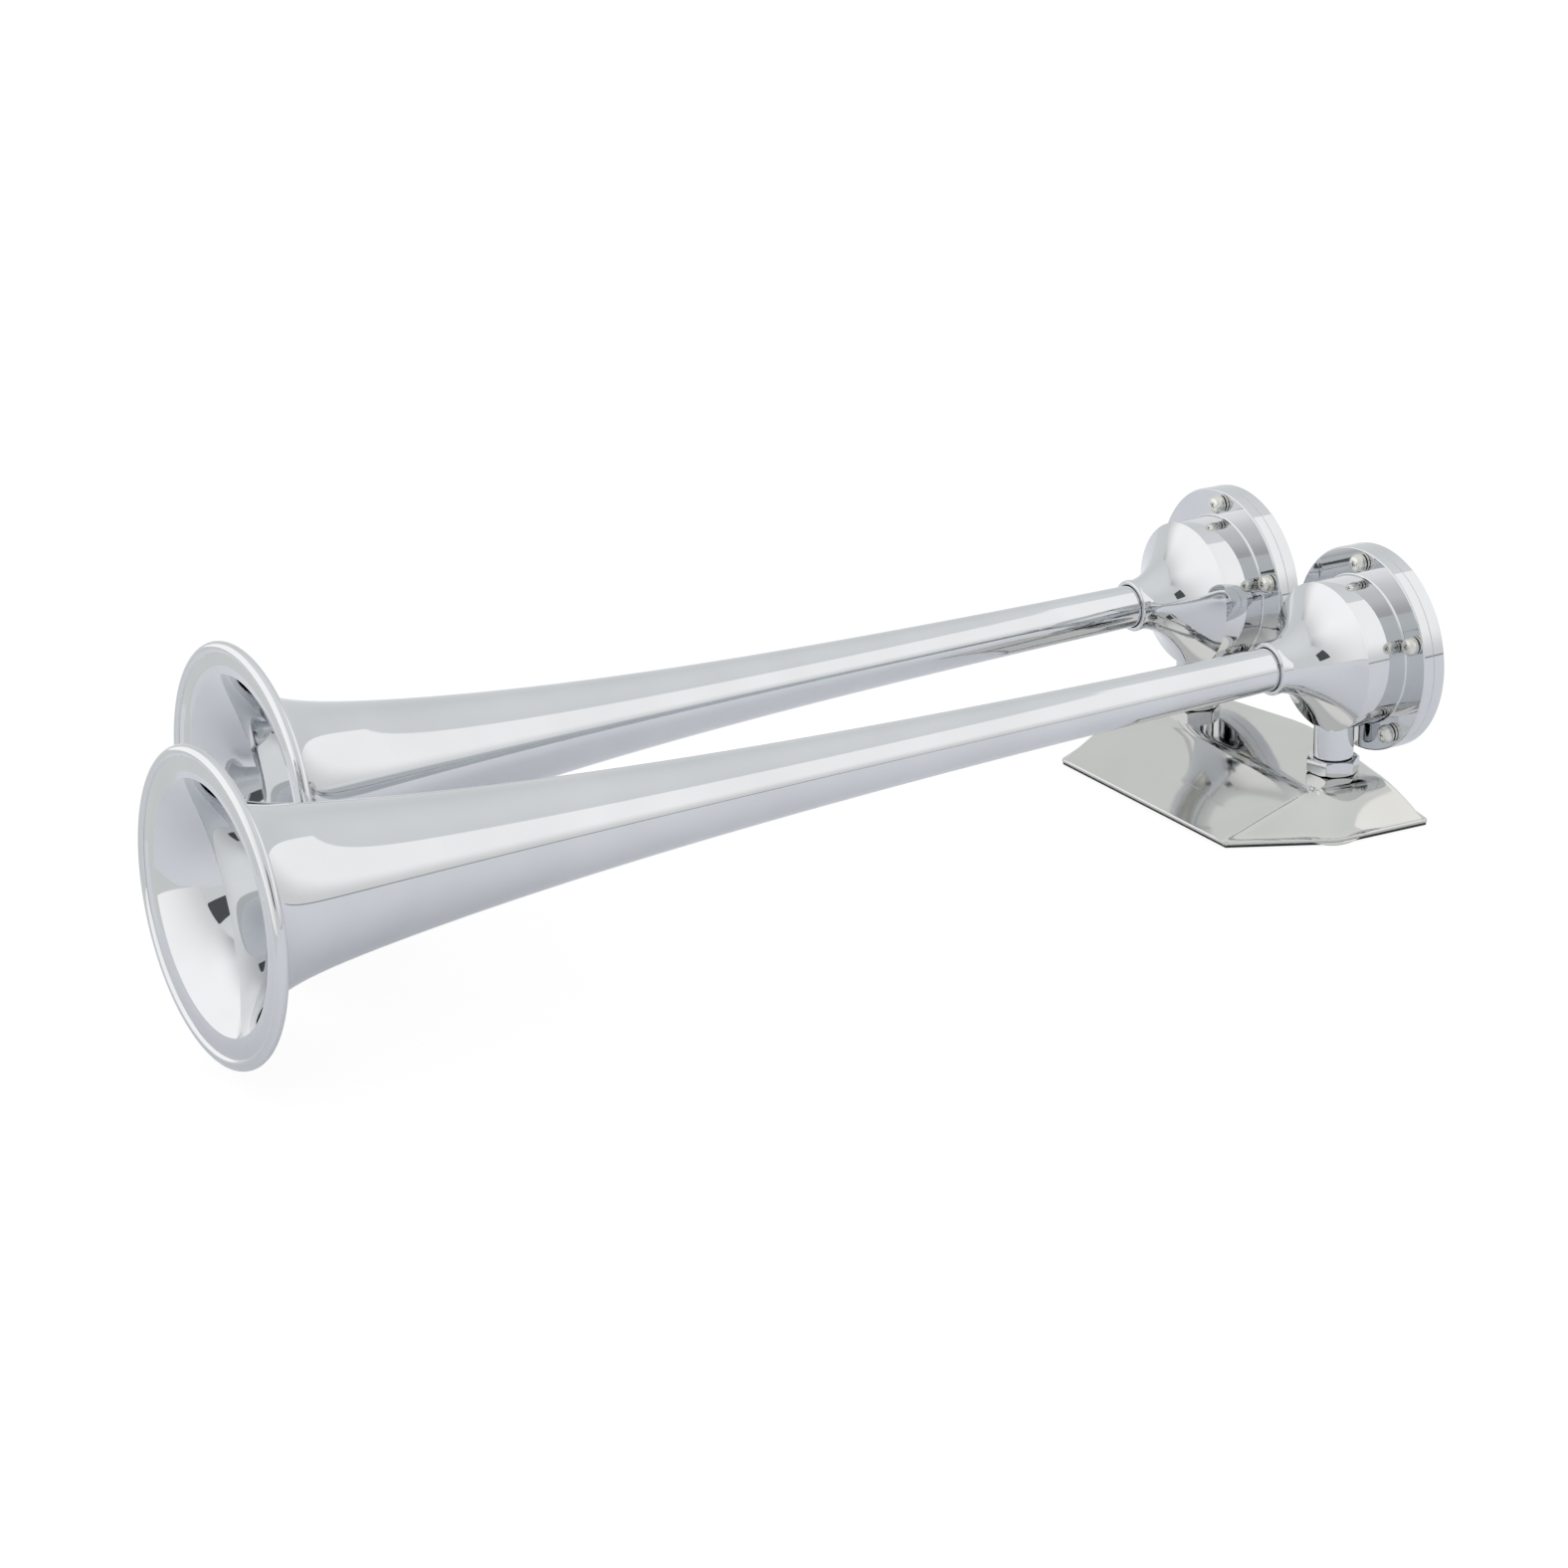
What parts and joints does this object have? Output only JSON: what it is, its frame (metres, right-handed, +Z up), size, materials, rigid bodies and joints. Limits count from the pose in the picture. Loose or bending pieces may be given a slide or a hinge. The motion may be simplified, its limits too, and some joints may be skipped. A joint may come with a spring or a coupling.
{
  "type": "dual trumpet air horn",
  "caption": "Air horn whose long and short chromed trumpets stand side by side on posts over a pressed, gasketed roof base, each with its own diaphragm chamber.",
  "frame": {"origin": "midway between the posts, on the plane that the base gasket rests on", "axes": "+Z up from the mounting surface, the trumpets point to -X, the long one stands on the -Y side"},
  "size_m": [0.586, 0.231, 0.1378],
  "materials": {
    "chrome": "bright chrome plate on brass and zinc",
    "base_chrome": "polished pressed sheet, warm grey mirror",
    "zinc_steel": "bright plated steel fasteners",
    "brass": "turned",
    "spring_steel": "thin rolled sheet",
    "black_rubber": "matt"
  },
  "bodies": {
    "base": {"base_shell": "base_chrome", "base_gasket": "black_rubber", "long_hollow_stud": "brass", "long_jam_nut": "chrome", "long_lower_washer": "zinc_steel", "long_lower_nut": "zinc_steel", "short_hollow_stud": "brass", "short_jam_nut": "chrome", "short_lower_washer": "zinc_steel", "short_lower_nut": "zinc_steel"},
    "long_horn": {"long_trumpet": "chrome", "long_rim_screw": "zinc_steel", "long_sound_chamber": "chrome", "long_nozzle": "brass", "long_front_gasket": "black_rubber", "long_rear_gasket": "black_rubber", "long_rear_cover": "chrome", "long_cover_screw_1": "zinc_steel", "long_cover_screw_2": "zinc_steel", "long_cover_screw_3": "zinc_steel", "long_cover_screw_4": "zinc_steel", "long_cover_screw_5": "zinc_steel", "long_lock_washer_1": "zinc_steel", "long_lock_washer_2": "zinc_steel", "long_lock_washer_3": "zinc_steel", "long_lock_washer_4": "zinc_steel", "long_lock_washer_5": "zinc_steel"},
    "short_horn": {"short_trumpet": "chrome", "short_rim_screw": "zinc_steel", "short_sound_chamber": "chrome", "short_nozzle": "brass", "short_front_gasket": "black_rubber", "short_rear_gasket": "black_rubber", "short_rear_cover": "chrome", "short_cover_screw_1": "zinc_steel", "short_cover_screw_2": "zinc_steel", "short_cover_screw_3": "zinc_steel", "short_cover_screw_4": "zinc_steel", "short_cover_screw_5": "zinc_steel", "short_lock_washer_1": "zinc_steel", "short_lock_washer_2": "zinc_steel", "short_lock_washer_3": "zinc_steel", "short_lock_washer_4": "zinc_steel", "short_lock_washer_5": "zinc_steel"},
    "long_diaphragm_disc": {"long_diaphragm": "spring_steel"},
    "short_diaphragm_disc": {"short_diaphragm": "spring_steel"}
  },
  "joints": [
    {"name": "long_swivel", "type": "hinge", "parent": "base", "child": "long_horn", "pos_m": [0, -0.0515, 0.0266], "axis": [0, 0, 1], "range_deg": [0, 15]},
    {"name": "short_swivel", "type": "hinge", "parent": "base", "child": "short_horn", "pos_m": [0, 0.0515, 0.0266], "axis": [0, 0, 1], "range_deg": [-15, 0]},
    {"name": "long_diaphragm_stroke", "type": "slide", "parent": "long_horn", "child": "long_diaphragm_disc", "axis": [1, 0, 0], "range_m": [0, 0.00025], "stiffness_N_per_m": 3000},
    {"name": "short_diaphragm_stroke", "type": "slide", "parent": "short_horn", "child": "short_diaphragm_disc", "axis": [1, 0, 0], "range_m": [0, 0.00025], "stiffness_N_per_m": 3000}
  ]
}
